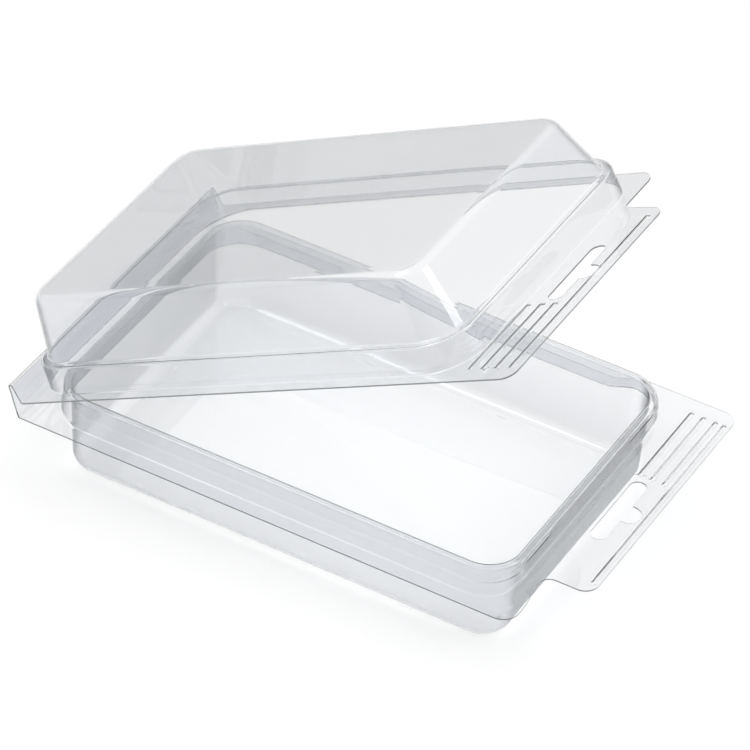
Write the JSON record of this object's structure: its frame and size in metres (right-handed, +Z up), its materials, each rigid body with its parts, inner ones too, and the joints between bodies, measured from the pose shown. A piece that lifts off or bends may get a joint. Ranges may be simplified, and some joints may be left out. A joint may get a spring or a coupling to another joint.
{
  "type": "clamshell pack",
  "caption": "Empty clear plastic clamshell pack: deep tray, domed lid on a folded sheet hinge, hang tabs with peg holes; the lid stands part open.",
  "frame": {"origin": "centre of the tray's flat bottom, on the surface that it stands on", "axes": "+X from the hinge to the hang tabs, +Y to the back, +Z up"},
  "size_m": [0.2013, 0.124, 0.127],
  "materials": {
    "clear_sheet": "clear glossy"
  },
  "bodies": {
    "tray": {"tray": "clear_sheet"},
    "lid": {"lid": "clear_sheet"}
  },
  "joints": [
    {"name": "lid_hinge", "type": "hinge", "parent": "tray", "child": "lid", "pos_m": [-0.08895, 0, 0.02175], "axis": [0, -1, 0], "range_deg": [-27.3, 112.7]}
  ]
}
